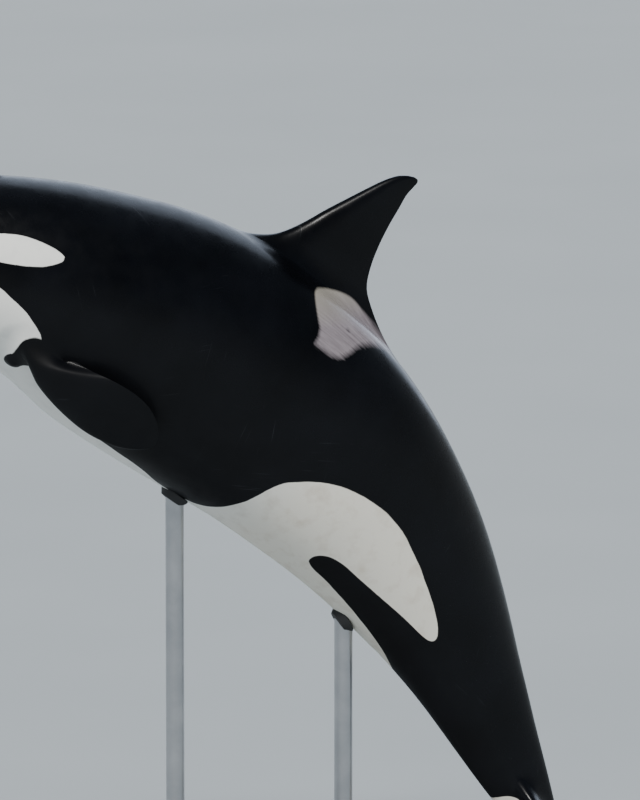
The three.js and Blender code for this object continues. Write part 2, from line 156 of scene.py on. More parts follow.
# How the fins grow out of the body, in metres
WELD_REACH = 0.03
WELD_GRAIN = 0.002
SOFT_REACH = 0.14
SOFT_ROUNDS = 170
SOFT_PULL = 0.6  # share of the way to the neighbours' middle, each round
KEPT_REACH = 0.26  # round the sharp points behind the flippers, less is softened
SHARP_REACH = 0.12
SHARP_ANGLE = 50

# Dark fold of skin in front of each flipper's root
FOLD_STATION = 1150
FOLD_TURN = 143.5
FOLD_LONG = 58
FOLD_DEEP = 72
FOLD_NECK = (1205, 131, 52)  # dark skin reaches from it to the root: station, degrees down, radius

# Markings as outlines on the skin: station, degrees down from the middle of the back.
# Turns past 180 only close the outline under the belly.
WHITE_BELOW = [
    (-40, 50), (100, 70), (300, 86), (480, 94), (560, 97), (592, 96.5), (650, 94.2), (740, 91.6),
    (830, 91), (884, 92.3), (955, 96.7), (1027, 100.7), (1080, 103.8), (1134, 108), (1178, 111.4),
    (1216, 115), (1262, 124), (1330, 135), (1430, 144), (1560, 152), (1800, 158), (2100, 161),
    (2366, 164), (2561, 172), (2704, 174), (2840, 170), (2940, 158),
    (3018, 142), (3052, 130), (3098, 117), (3185, 109.5), (3263, 104), (3380, 98), (3510, 93.5),
    (3640, 90), (3796, 87.5), (3926, 87), (4043, 88), (4180, 89.5), (4330, 92), (4480, 95.5),
    (4600, 100), (4660, 106), (4640, 112), (4540, 116), (4380, 120), (4180, 124.5), (3999, 127),
    (3877, 128), (3770, 130.5), (3712, 135), (3694, 140.5), (3716, 145.5), (3800, 148), (3923, 148.5),
    (4150, 151), (4400, 155), (4600, 162), (4720, 172), (4760, 184), (4600, 200), (2000, 200),
    (-40, 200),
]
EYE_PATCH = [
    (690, 69.5), (715, 63.5), (770, 60.4), (829, 59.8), (910, 59.3), (993, 60), (1070, 61.6),
    (1140, 63.7), (1188, 65.7), (1202, 67.6), (1186, 70), (1140, 72.7), (1074, 75), (960, 76.8),
    (854, 77), (760, 75.4),
]
# Saddle patch as seen from the side: x and z of its outline
SADDLE = [
    (525, 4032), (540, 4062), (572, 4074), (630, 4062), (688, 4046), (786, 4010), (854, 3962),
    (920, 3884), (1001, 3793), (1058, 3712), (1098, 3640), (1050, 3652), (985, 3690), (900, 3718),
    (840, 3730), (794, 3733), (725, 3710), (665, 3692), (617, 3690), (570, 3704), (536, 3729),
    (490, 3764), (462, 3786), (478, 3806), (494, 3826), (508, 3850), (515, 3880), (514, 3960),
]
SADDLE_DOT = (725, 3832, 11)  # small dark spot in it: x, z, radius
SADDLE_DOT_EDGE = 9
SADDLE_EDGE = (3.72, 3.95)  # heights in metres between which its edge turns from ragged to sharp
SADDLE_TOP = (3.86, 4.06)  # heights in metres between which it turns warmer
CREAM = (2.8, 3.3)  # stations in metres between which the white turns creamy
ROUGH_FLANK = (0.88, 1.0)  # metres of skin down from the back between which it turns rougher
CHIN_STATION = 90  # ahead of it the mouth's line alone ends the white
FLIPPER_END = 2700  # station behind the flippers' tips
FLIPPER_OFF = 15  # skin further than this off the plain body is a flipper's, and black
FLUKE_FROM = 5560  # behind this station only the flukes' undersides are white
FLUKE_BORDER = (46, 74)  # black border of that white: front, rear
ALL_DARK = -60  # written where no white is near
CHART_DEGREE = 9.2  # millimetres of skin to a degree, roughly

# Photo framing: 640 by 800 pixels, measured at the body's pinned point of the axis
PIXELS_WIDE = 640
PIXELS_HIGH = 800
PIXELS_PER_METRE = 167.9
PIN_PIXEL = (191.9, 359.3)
VIEW_YAW = 18
VIEW_ELEVATION = 10
VIEW_DISTANCE = 60  # in metres, far off for a long lens
VIEW_FAR = 2000
SENSOR = 36

# Lights: name, direction towards it, strength, spread in degrees, colour
SUNS = [
    ("key", (-0.42, -0.72, 1.1), 4.1, 18, (1.0, 0.985, 0.95)),
    ("back", (0.5, 0.8, 0.42), 0.95, 50, (0.70, 0.81, 1.0)),
]
# Surround: place on the way from the horizon up, colour
SURROUND = [(0.0, (0.43, 0.46, 0.475, 1)), (0.36, (0.10, 0.125, 0.155, 1))]
FLOOR_RADIUS = 400
FLOOR_THICK = 0.05

# Stand's turned pieces, in metres: radius and height pairs
WASHER = [(0.004, 0), (0.019, 0), (0.0205, 0.0012), (0.0205, 0.003), (0.019, 0.0042), (0.004, 0.0042)]
BOLT_HEAD = [(0.0145, 0.0042), (0.0145, 0.012), (0.0125, 0.0135), (0.003, 0.0135)]
BOLTS = 8
BOLT_CIRCLE = 0.78  # share of the flange's radius
FLANGE_EDGE = 0.006
FLANGE_RIM = 0.45  # share of the flange's height
FLANGE_GAP = 0.0003
HUB_FOOT = 0.04  # the hub's width round the rod
HUB_TOP = 0.012
CUP = [(0.9, -0.045), (1.25, -0.042), (1.62, -0.012), (1.7, 0.004), (1.5, 0.012)]  # radius in rod radii
CUP_STATIONS = (1800, 4800)  # the belly between these is searched for the rods' tops


def smooth(rows, column, x):
    """Smooth curve through a table's rows, read from one column at x, straight past the last row."""
    table = np.asarray(rows, float)
    xs, ys = table[:, 0], table[:, column]
    x = np.asarray(x, float)
    slopes = np.empty_like(ys)
    slopes[1:-1] = (ys[2:] - ys[:-2]) / (xs[2:] - xs[:-2])
    slopes[0] = (ys[1] - ys[0]) / (xs[1] - xs[0])
    slopes[-1] = (ys[-1] - ys[-2]) / (xs[-1] - xs[-2])
    i = np.clip(np.searchsorted(xs, x, side="right") - 1, 0, len(xs) - 2)
    span = xs[i + 1] - xs[i]
    t = np.clip((x - xs[i]) / span, 0, 1)
    start = (1 + 2 * t) * (1 - t) ** 2 * ys[i] + t * (1 - t) ** 2 * span * slopes[i]
    end = t * t * (3 - 2 * t) * ys[i + 1] - t * t * (1 - t) * span * slopes[i + 1]
    past = np.maximum(x - xs[-1], 0) * slopes[-1]
    return start + end + past


def step(low, high, x):
    """Smooth step from 0 at low to 1 at high."""
    t = np.clip((np.asarray(x, float) - low) / (high - low), 0, 1)
    return t * t * (3 - 2 * t)


def between(low, high, fade, x):
    """1 well between low and high, falling to 0 at both over the length fade."""
    return step(low, low + fade, x) * step(high, high - fade, x)


def bell(x, width):
    """Bell curve with a height of 1 at 0."""
    return np.exp(-(np.asarray(x, float) / width) ** 2)


def form(x, height, place, width):
    """Swelling of the skin, or a hollow where the height is below 0."""
    return height * bell(x - place, width)


def trace_axis():
    """Axis points at every step along the body, pinned at its place in the frame."""
    stations = np.arange(0, AXIS_END + AXIS_STEP, AXIS_STEP, dtype=float)
    slope = np.radians(smooth(SLOPE, 1, stations[:-1] + AXIS_STEP / 2))
    x = np.concatenate([[0], np.cumsum(np.cos(slope)) * AXIS_STEP])
    z = np.concatenate([[0], -np.cumsum(np.sin(slope)) * AXIS_STEP])
    pin = BODY_STATION // AXIS_STEP
    return stations, x - x[pin] + BODY_X, z - z[pin] + BODY_Z


AXIS_S, AXIS_X, AXIS_Z = trace_axis()


def vector(x, y, z):
    """Vectors from their parts, which are numbers or arrays."""
    return np.stack(np.broadcast_arrays(x, y, z), -1).astype(float)


def frame_at(station):
    """Axis point, direction aft and direction up at stations."""
    slope = np.radians(smooth(SLOPE, 1, station))
    centre = vector(np.interp(station, AXIS_S, AXIS_X), 0, np.interp(station, AXIS_S, AXIS_Z))
    aft = vector(np.cos(slope), 0, -np.sin(slope))
    up = vector(np.sin(slope), 0, np.cos(slope))
    return centre, aft, up


def section_at(station):
    """Height of the back, depth of the belly, half width and keel at stations."""
    t = np.clip(np.asarray(station, float) / SNOUT_ROUND, 0, 1)
    close = np.sqrt(1 - (1 - t) ** 2)
    back, belly, side = (smooth(PROFILE, column, station) * close for column in (1, 2, 3))
    keel = KEEL * step(KEEL_FROM, LENGTH, station)
    return back, belly, side, keel


def skin(station, turn, relief=0):
    """Points of the skin: turn in radians down from the middle of the back, to the left."""
    back, belly, side, keel = section_at(station)
    c, s = np.cos(turn), np.sin(turn)
    depth = np.where(c > 0, back, belly)
    height = depth * c
    out = side * s * (1 - keel * c * c)
    reach = np.hypot(c * side, s * depth) + 1e-9
    height = height + relief * c * side / reach
    out = out + relief * s * depth / reach
    centre, _, up = frame_at(station)
    return centre + up * height[..., None] + vector(0, -out, 0)


def skin_frame(station, turn):
    """Points of the plain skin, with the directions aft, down round the body and outwards."""
    point = skin(station, turn)
    aft = skin(station + 5, turn) - point
    down = skin(station, turn + 0.01) - point
    out = np.cross(down, aft)
    aft, down, out = (v / np.linalg.norm(v, axis=-1, keepdims=True) for v in (aft, down, out))
    inward = (out[..., 1] > 0) == (np.sin(turn) > 0)
    return point, aft, down, np.where(inward[..., None], -out, out)


def radius_at(station):
    """Mean radius of the body."""
    back, belly, side, _ = section_at(station)
    return (back + belly + 2 * side) / 4


def mouth_height(station):
    """Height of the mouth's line above the body's axis."""
    return smooth(MOUTH_LINE, 1, station) * np.minimum(1, station / SNOUT_ROUND * 3)


def mouth_turn(station):
    """Turn of the mouth's line, in radians."""
    _, belly, _, _ = section_at(station)
    return np.arccos(np.clip(mouth_height(station) / np.maximum(belly, 1), -0.97, 0.97))


def relief_lips(station, side_turn):
    """The mouth's groove between its lips, and the dent at its corner."""
    off = (side_turn - mouth_turn(np.minimum(station, MOUTH_END))) * radius_at(station)
    shut = 1 - step(MOUTH_END - 26, MOUTH_END + 16, station)
    tip = np.clip(station / 60, 0, 1)
    lips = sum(form(off, *part) for part in (MOUTH_GROOVE, UPPER_LIP, LOWER_LIP, CHIN_GROOVE))
    corner = form(station - MOUTH_END, *MOUTH_CORNER) * bell(off - 10, 26)
    return lips * shut * tip + corner


def relief_eye(station, side_turn):
    """Hollow of the eyeball, the lids with their creases, folds at both corners and the brow."""
    along = station - EYE_STATION
    down = (side_turn - math.radians(EYE_TURN)) * radius_at(EYE_STATION)
    ring = np.hypot(along / EYE_LONG, down / EYE_TALL)
    total = form(ring, *LID) - EYE_HOLLOW * (1 - step(*EYE_RIM, ring))
    for crease, grows in EYE_CREASES:
        total = total + form(ring, *crease) * step(*grows, down)
    for fold, slope, grows, ends in EYE_FOLDS:
        total = total + form(down - slope * along, *fold) * step(*grows, along) * step(*ends, along)
    brow = form(np.hypot(along / 1.5, down + 30), *BROW)
    return total + brow + form(np.hypot(along, down), *EYE_SWELL)


def relief_blowhole(station, turn):
    """Curved slit of the blowhole round its plug, on a low mound."""
    along = station - BLOWHOLE_STATION
    across = np.sin(turn) * radius_at(BLOWHOLE_STATION)
    top = step(0.2, 0.6, np.cos(turn))
    reach = np.hypot(along, across)
    angle = np.degrees(np.abs(np.arctan2(across, along)))
    slit = form(reach, *BLOWHOLE_SLIT) * step(BLOWHOLE_HALF_ANGLE + 6, BLOWHOLE_HALF_ANGLE - 6, angle)
    lip = form(reach, *BLOWHOLE_LIP) * step(100, 50, angle)
    return (slit + lip + form(reach, *BLOWHOLE_PLUG) + form(reach, *BLOWHOLE_MOUND)) * top


def relief_belly(station, turn):
    """Navel and the slit behind it, on the midline of the belly."""
    across = np.sin(turn) * radius_at(station)
    under = step(0.2, 0.6, -np.cos(turn))
    low, high = SLIT_STATIONS
    navel = form(np.hypot((station - NAVEL_STATION) / NAVEL_STRETCH, across), *NAVEL)
    slit = form(across, *SLIT) * between(low, high, 40, station)
    rolls = form(np.abs(across), *SLIT_ROLL) * between(low - 20, high + 20, 60, station)
    return under * (navel + slit + rolls)


def fold_ring(station, turn):
    """Distance from the middle of the fold before the flipper, 1 at its rim."""
    along = (station - FOLD_STATION) / FOLD_LONG
    down = np.radians(turn - FOLD_TURN) * radius_at(FOLD_STATION) / FOLD_DEEP
    return np.hypot(along, down)


def fold_neck(station, turn):
    """Distance in millimetres outside the dark skin between the fold and the flipper's root."""
    start, end = np.array(on_chart([(FOLD_STATION, FOLD_TURN), FOLD_NECK[:2]]))
    line = end - start
    along, down = station - start[0], turn * CHART_DEGREE - start[1]
    t = np.clip((along * line[0] + down * line[1]) / (line @ line), 0, 1)
    return np.hypot(along - t * line[0], down - t * line[1]) - FOLD_NECK[2]


def relief_shoulder(station, side_turn):
    """Folds of the skin in front of and over the root of each flipper."""
    along = station - FLIPPER_STATION
    down = (side_turn - math.radians(FLIPPER_TURN)) * radius_at(FLIPPER_STATION)
    swell = form(np.hypot(along - 120, down + 10), *ROOT_SWELL)
    lobe = form(fold_ring(station, np.degrees(side_turn)), *FOLD_LOBE)
    reach = np.hypot(along - 200, down)
    ahead = step(10, -60, along) * bell(down - 20, 130)
    return swell + lobe + sum(form(reach, *ripple) for ripple in ROOT_RIPPLES) * ahead


def relief(station, turn):
    """Height of all the skin's forms over the plain body."""
    side_turn = np.abs((turn + math.pi) % (2 * math.pi) - math.pi)
    total = relief_lips(station, side_turn) + relief_eye(station, side_turn)
    total = total + relief_blowhole(station, turn) + relief_belly(station, turn)
    return total + relief_shoulder(station, side_turn)


def dense(low, high, base, places):
    """Numbers from low to high, spaced base apart and closer near places (at, width, spacing)."""
    fine = np.linspace(low, high, 20001)
    density = np.full_like(fine, 1 / base)
    for at, width, spacing in places:
        density = np.maximum(density, bell(fine - at, width) / spacing)
    total = np.concatenate([[0], np.cumsum((density[1:] + density[:-1]) / 2 * np.diff(fine))])
    return np.interp(np.linspace(0, total[-1], int(round(total[-1])) + 1), total, fine)


def quads(rows, columns):
    """Index of the faces between rings of vertices."""
    i, j = np.meshgrid(np.arange(rows - 1), np.arange(columns), indexing="ij")
    k = (j + 1) % columns
    corners = [i * columns + j, i * columns + k, (i + 1) * columns + k, (i + 1) * columns + j]
    return np.stack(corners, -1).reshape(-1, 4)


def closed_quads(rows, columns):
    """Faces between rings and round two more vertices after them, at the start and the end."""
    faces = quads(rows, columns).tolist()
    start = rows * columns
    last = start - columns
    for j in range(columns):
        k = (j + 1) % columns
        faces.append([start, k, j])
        faces.append([start + 1, last + j, last + k])
    return faces


def make_mesh(name, points, faces):
    """Mesh object from points in millimetres and lists of faces, turned to face out."""
    mesh = bpy.data.meshes.new(name)
    mesh.from_pydata((np.asarray(points) * MM).tolist(), [], [list(map(int, f)) for f in faces])
    mesh.validate()
    made = bpy.data.objects.new(name, mesh)
    bpy.context.scene.collection.objects.link(made)
    face_out(mesh)
    return made


def face_out(mesh):
    """Turns a closed mesh right side out."""
    co = points_of(mesh)
    mesh.calc_loop_triangles()
    index = np.zeros(len(mesh.loop_triangles) * 3, np.int32)
    mesh.loop_triangles.foreach_get("vertices", index)
    a, b, c = (co[index.reshape(-1, 3)[:, k]] for k in range(3))
    if np.einsum("ij,ij->i", a, np.cross(b, c)).sum() < 0:
        mesh.flip_normals()


def points_of(mesh):
    """Places of the vertices, in metres."""
    co = np.zeros(len(mesh.vertices) * 3)
    mesh.vertices.foreach_get("co", co)
    return co.reshape(-1, 3)


def body_mesh():
    """Skin of the body without its fins, denser round the mouth, eyes and blowhole."""
    stations = np.concatenate([
        dense(4, HEAD_END, 8, [(0, 60, 3), (EYE_STATION, 75, 1.5), (BLOWHOLE_STATION, 85, 2.2)]),
        dense(HEAD_END + 12, LENGTH - 4, 15, [(6200, 300, 9)]),
    ])
    half = dense(0, math.pi, 0.036, [
        (0, 0.18, 0.0045), (math.radians(EYE_TURN), 0.11, 0.0032),
        (math.radians(100), 0.14, 0.0055), (math.pi, 0.06, 0.008),
    ])
    turns = np.concatenate([half[:-1], 2 * math.pi - half[:0:-1]])
    grid_s, grid_t = np.meshgrid(stations, turns, indexing="ij")
    points = skin(grid_s, grid_t, relief(grid_s, grid_t)).reshape(-1, 3)
    snout, stern = skin(np.array(0.5), np.array(0.0)), points[-len(turns):].mean(0)
    points = np.vstack([points, snout, stern])
    return make_mesh("orca_skin", points, closed_quads(len(stations), len(turns)))


def foil(u):
    """Half thickness of a wing section over its full thickness, at a share of the chord."""
    return 5 * (0.2969 * np.sqrt(u) - 0.126 * u - 0.3516 * u ** 2 + 0.2843 * u ** 3 - 0.1036 * u ** 4)


def blade_mesh(name, front, rear, thickness, off, oval=0.0, columns=48):
    """Closed blade from its front and rear edges, full thickness and direction off its plane.
    Its sections go from a wing's (oval 0) to an oval one (oval 1)."""
    u = (1 - np.cos(np.linspace(0, math.pi, columns))) / 2
    middle = front[:, None] + (rear - front)[:, None] * u[None, :, None]
    oval = np.broadcast_to(oval, thickness.shape)[:, None]
    section = foil(u)[None, :] * (1 - oval) + np.sqrt(u * (1 - u))[None, :] * oval
    half = (thickness[:, None] * section)[..., None] * off[:, None]
    upper, lower = middle + half, middle - half
    ring = np.concatenate([upper, lower[:, -2:0:-1]], axis=1)
    rows, count = ring.shape[0], ring.shape[1]
    faces = quads(rows, count).tolist()
    for row in (0, rows - 1):
        start = row * count
        for j in range(columns - 1):
            across = [start + j, start + j + 1, start + (count - j - 1) % count, start + (count - j) % count]
            face = list(dict.fromkeys(across if row else across[::-1]))
            faces.append(face)
    return make_mesh(name, ring.reshape(-1, 3), faces)


def toward_tip(low, high, count, power=2.2):
    """Numbers from low to high, closer together towards high."""
    t = np.linspace(0, 1, count)
    return low + (high - low) * (1 - (1 - t) ** power)


def dorsal_fin():
    """Blade of the fin, from its foot inside the back."""
    heights = toward_tip(FIN_FOOT, FIN[-1][0], 120)
    centre, aft, up = frame_at(np.array(float(FIN_STATION)))
    front, rear, thickness = (smooth(FIN, column, heights) for column in (1, 2, 3))
    base = centre + up * heights[:, None]
    across = np.tile([0.0, 1.0, 0.0], (len(heights), 1))
    return blade_mesh("fin", base + aft * front[:, None], base + aft * rear[:, None], thickness, across)


def flipper(side):
    """Blade of one flipper, swept back over the skin: side 1 is left, -1 right."""
    shares = toward_tip(0, 1, 110, 1.6)
    turn = np.full_like(shares, side * math.radians(FLIPPER_TURN))
    value = [smooth(FLIPPER, column, shares) for column in range(7)]
    edges = []
    for aft_column, down_column in ((1, 2), (3, 4)):
        point, _, down, out = skin_frame(FLIPPER_STATION + value[aft_column], turn)
        edges.append(point + down * (side * value[down_column])[:, None] + out * value[5][:, None])
    _, _, _, off = skin_frame(FLIPPER_STATION + (value[1] + value[3]) / 2, turn)
    oval = 1 - step(*FLIPPER_OVAL, shares)
    return blade_mesh("flipper", edges[0], edges[1], value[6], off, oval)


def flukes():
    """Blade of both flukes, tips drooping."""
    tip = FLUKE[-1][0]
    half = toward_tip(0, tip, 90)
    out = np.concatenate([-half[:0:-1], half])
    centre, aft, up = frame_at(np.array(float(FLUKE_STATION)))
    front, rear, thickness = (smooth(FLUKE, column, np.abs(out)) for column in (1, 2, 3))
    base = centre + vector(0, out, 0) - up * (FLUKE_DROOP * (out / tip) ** 2)[:, None]
    front_edge = base + aft * (front - FLUKE_STATION)[:, None]
    rear_edge = base + aft * (rear - FLUKE_STATION)[:, None]
    return blade_mesh("flukes", front_edge, rear_edge, thickness, np.tile(up, (len(out), 1)))


def join(body, others):
    """Unites closed meshes with the body. Returns the points where they cut each other."""
    before = np.vstack([points_of(o.data) for o in [body, *others]])
    for other in others:
        boolean = body.modifiers.new("join", "BOOLEAN")
        boolean.operation = "UNION"
        boolean.solver = "MANIFOLD"
        boolean.object = other
        bpy.context.view_layer.objects.active = body
        bpy.ops.object.modifier_apply(modifier=boolean.name)
        bpy.data.objects.remove(other)
    # A cut is where a vertex lies and none lay before
    grain = 1e-5
    known = set(map(bytes, np.round(before / grain).astype(np.int64)))
    after = points_of(body.data)
    keys = np.round(after / grain).astype(np.int64)
    return after[[bytes(key) not in known for key in keys]]


def tree_of(points):
    """Tree that finds the nearest of the points."""
    tree = KDTree(len(points))
    for i, p in enumerate(points):
        tree.insert(p, i)
    tree.balance()
    return tree


def weld(mesh, seams):
    """Merges the crowded vertices that the union leaves along the seams."""
    tree = tree_of(seams)
    low, high = seams.min(0) - WELD_REACH, seams.max(0) + WELD_REACH
    net = bmesh.new()
    net.from_mesh(mesh)
    near = [v for v in net.verts if all(low[k] < v.co[k] < high[k] for k in range(3))]
    near = [v for v in near if tree.find(v.co)[2] < WELD_REACH]
    bmesh.ops.remove_doubles(net, verts=near, dist=WELD_GRAIN)
    bmesh.ops.triangulate(net, faces=[f for f in net.faces if len(f.verts) > 4])
    net.to_mesh(mesh)
    net.free()


def neighbours(mesh, kept):
    """Pairs of joined vertices, both ways round, where either is kept."""
    edges = np.zeros(len(mesh.edges) * 2, np.int32)
    mesh.edges.foreach_get("vertices", edges)
    a, b = edges.reshape(-1, 2).T
    keep = kept[a] | kept[b]
    return np.concatenate([a[keep], b[keep]]), np.concatenate([b[keep], a[keep]])


def soften(mesh, seams, sharp):
    """Smooths the skin round the seams, so that fins grow out of the body.
    The skin close to the sharp points stays as it is."""
    co = points_of(mesh)
    tree = tree_of(seams)
    low, high = seams.min(0) - SOFT_REACH, seams.max(0) + SOFT_REACH
    weight = np.zeros(len(co))
    for i in np.nonzero(((co > low) & (co < high)).all(1))[0]:
        away = min(np.linalg.norm(co[i] - p) for p in sharp)
        close = max(0.0, 1 - tree.find(co[i])[2] / SOFT_REACH)
        weight[i] = close * float(step(0.0, KEPT_REACH, away)) ** 2
    weight = step(0, 0.8, weight)
    a, b = neighbours(mesh, weight > 0)
    count = np.bincount(a, minlength=len(co))
    moving = np.nonzero((weight > 0) & (count > 0))[0]
    pull = (SOFT_PULL * weight[moving])[:, None]
    for _ in range(SOFT_ROUNDS):
        total = np.stack([np.bincount(a, co[b, k], len(co)) for k in range(3)], -1)
        mean = total[moving] / count[moving, None]
        co[moving] += (mean - co[moving]) * pull
    mesh.vertices.foreach_set("co", co.ravel())
    mesh.update()


def chart(co):
    """Station, turn in degrees (0 to 180 on both sides) and height off the plain body, of points."""
    points = co / MM
    # The nearest of a few stations first, then steps along the axis until the point is square to it
    station = np.zeros(len(points))
    best = np.full(len(points), np.inf)
    for s in np.arange(0, AXIS_END, 100.0):
        centre, _, _ = frame_at(np.array(s))
        gap = np.linalg.norm(points - centre, axis=1)
        station = np.where(gap < best, s, station)
        best = np.minimum(best, gap)
    for _ in range(5):
        centre, aft, _ = frame_at(station)
        ahead = np.einsum("ij,ij->i", points - centre, aft)
        station = np.clip(station + ahead * 0.9, 0, AXIS_END - AXIS_STEP)
    centre, _, up = frame_at(station)
    rise = np.einsum("ij,ij->i", points - centre, up)
    across = np.abs(points[:, 1])
    back, belly, side, _ = section_at(station)
    side = np.maximum(side, 1)
    depth = np.maximum(np.where(rise > 0, back, belly), 1)
    turn = np.degrees(np.arctan2(across / side, rise / depth))
    ring = np.maximum(np.hypot(across / side, rise / depth), 1e-6)
    return station, turn, np.hypot(rise, across) * (1 - 1 / ring)


def outline(points, parts=6):
    """Smooth closed outline through points, with so many parts from each to the next."""
    p = np.array(points, float)
    before, after, later = np.roll(p, 1, 0), np.roll(p, -1, 0), np.roll(p, -2, 0)
    out = []
    for t in np.linspace(0, 1, parts, endpoint=False):
        a = 2 * p + t * (after - before) + t ** 2 * (2 * before - 5 * p + 4 * after - later)
        out.append((a + t ** 3 * (3 * p - before - 3 * after + later)) / 2)
    return np.stack(out, 1).reshape(-1, 2)


def inside(points, across, along, far=160.0):
    """Distance inside an outline, negative outside it, in millimetres."""
    edge = outline(points)
    p = np.stack([across, along], -1)
    result = np.full(len(p), -far)
    near = ((p > edge.min(0) - far) & (p < edge.max(0) + far)).all(1)
    q = p[near]
    distance = np.full(len(q), np.inf)
    crossings = np.zeros(len(q), int)
    for a, b in zip(edge, np.roll(edge, -1, 0)):
        d = b - a
        t = np.clip((q - a) @ d / max(d @ d, 1e-9), 0, 1)
        distance = np.minimum(distance, np.hypot(*(q - a - t[:, None] * d).T))
        over = (a[1] > q[:, 1]) != (b[1] > q[:, 1])
        if a[1] != b[1]:
            meets = a[0] + (q[:, 1] - a[1]) / (b[1] - a[1]) * d[0]
            crossings += over & (q[:, 0] < meets)
    result[near] = np.where(crossings % 2 == 1, distance, -distance)
    return np.clip(result, -far, far)


def fluke_white(co):
    """How far a point lies inside the white underside of the flukes."""
    centre, aft, up = frame_at(np.array(float(FLUKE_STATION)))
    off = co / MM - centre
    out = np.abs(off[:, 1])
    station = FLUKE_STATION + off @ aft
    below = -(off @ up) - FLUKE_DROOP * (out / FLUKE[-1][0]) ** 2
    front = station - smooth(FLUKE, 1, out) - FLUKE_BORDER[0]
    rear = smooth(FLUKE, 2, out) - FLUKE_BORDER[1] - station
    return np.where(below > 0, np.minimum(np.minimum(front, rear), below * 12), ALL_DARK)


def on_chart(table):
    """Outline in millimetres of skin, from stations and degrees down."""
    return [(station, turn * CHART_DEGREE) for station, turn in table]


def mark_skin(mesh):
    """Writes the markings on the skin as distances, and its chart for the shader."""
    co = points_of(mesh)
    station, turn, off = chart(co)
    down = turn * CHART_DEGREE
    centre, _, up = frame_at(station)
    jaw = mouth_height(station) - ((co / MM - centre) * up).sum(-1)
    white = inside(on_chart(WHITE_BELOW), station, down)
    white = np.where(station < MOUTH_END, np.minimum(white, jaw), white)
    white = np.where(station < CHIN_STATION, jaw, white)
    white = np.maximum(white, inside(on_chart(EYE_PATCH), station, down))
    white = np.where(station < FLIPPER_END, np.minimum(white, (FLIPPER_OFF - off) * 2), white)
    white = np.minimum(white, (fold_ring(station, turn) - 1) * FOLD_LONG)
    white = np.minimum(white, fold_neck(station, turn))
    white = np.where(station > FLUKE_FROM, np.maximum(ALL_DARK, fluke_white(co)), white)
    x, z = co[:, 0] / MM, co[:, 2] / MM
    dot = np.hypot(x - SADDLE_DOT[0], z - SADDLE_DOT[1]) - SADDLE_DOT[2]
    saddle = np.minimum(inside(SADDLE, x, z), dot + SADDLE_DOT_EDGE)
    layers = {"white": white, "saddle": saddle, "station": station * MM, "around": down * MM}
    for name, values in layers.items():
        layer = mesh.attributes.new(name, "FLOAT", "POINT")
        layer.data.foreach_set("value", values.astype(np.float32))


class Shader:
    """Short way to add and link the nodes of a material."""

    def __init__(self, name):
        self.material = bpy.data.materials.new(name)
        self.material.use_nodes = True
        self.nodes = self.material.node_tree.nodes
        self.links = self.material.node_tree.links
        self.principled = self.nodes["Principled BSDF"]

    def put(self, socket, value):
        """Links an output to a socket, or sets the socket's own value."""
        if isinstance(value, bpy.types.NodeSocket):
            self.links.new(value, socket)
        else:
            socket.default_value = value

    def node(self, kind, inputs=(), output=0, **settings):
        """Adds a node and returns one of its outputs. Inputs are values or other outputs."""
        made = self.nodes.new(kind)
        for key, value in settings.items():
            setattr(made, key, value)
        for key, value in dict(inputs).items():
            self.put(made.inputs[key], value)
        return made.outputs[output]

    def set(self, **values):
        """Sets or links inputs of the main shader, named with _ for spaces."""
        for key, value in values.items():
            self.put(self.principled.inputs[key.replace("_", " ")], value)

    def attribute(self, name):
        """A number that the mesh carries on its vertices."""
        return self.node("ShaderNodeAttribute", output="Fac", attribute_name=name)

    def math(self, operation, a, b=0.0, c=0.0):
        return self.node("ShaderNodeMath", {0: a, 1: b, 2: c}, operation=operation)

    def noise(self, vector_in, scale, detail=4.0, roughness=0.55):
        """Smooth noise from about 0 to 1, whose bumps are about 1 over scale wide."""
        inputs = {"Vector": vector_in, "Scale": scale, "Detail": detail, "Roughness": roughness}
        return self.node("ShaderNodeTexNoise", inputs)

    def place(self):
        """Place in the object, in metres."""
        return self.node("ShaderNodeTexCoord", output="Object")

    def mapped(self, vector_in, location=(0, 0, 0), scale=(1, 1, 1)):
        """A place scaled and then moved."""
        return self.node("ShaderNodeMapping", {"Vector": vector_in, "Location": location, "Scale": scale})

    def remap(self, value, low, high, to_low=0.0, to_high=1.0):
        """Takes low to high over to to_low to to_high, and holds the value at both ends."""
        inputs = {"Value": value, "From Min": low, "From Max": high, "To Min": to_low, "To Max": to_high}
        return self.node("ShaderNodeMapRange", inputs)

    def mix(self, factor, a, b):
        """Mixes two colours, which are inputs 6 and 7 and output 2 of the node."""
        inputs = {0: factor, 6: a, 7: b}
        return self.node("ShaderNodeMix", inputs, output=2, data_type="RGBA")

    def bump(self, height, strength, distance, normal=None):
        """Fine relief that only the light sees, on top of another one's normal."""
        inputs = {"Height": height, "Strength": strength, "Distance": distance}
        if normal is not None:
            inputs["Normal"] = normal
        return self.node("ShaderNodeBump", inputs)


def rgb(r, g, b):
    """Opaque colour."""
    return (r, g, b, 1.0)


def rake_marks(m, flat):
    """Pale parallel scratches in a few places, in three directions."""
    marks = 0.0
    for angle, offset in ((0.5, 0.0), (-0.9, 3.7), (1.9, 8.1)):
        spun = m.node("ShaderNodeVectorRotate", {"Vector": flat, "Angle": angle}, rotation_type="Z_AXIS")
        drawn = m.mapped(spun, (offset, offset, 0), (3.2, 95, 1))
        lines = m.remap(m.noise(drawn, 1.0, 2.0), 0.66, 0.75)
        where = m.remap(m.noise(m.mapped(spun, (offset, 0, 0)), 2.3, 1.0), 0.60, 0.68)
        marks = m.math("MAXIMUM", marks, m.math("MULTIPLY", lines, where))
    return marks


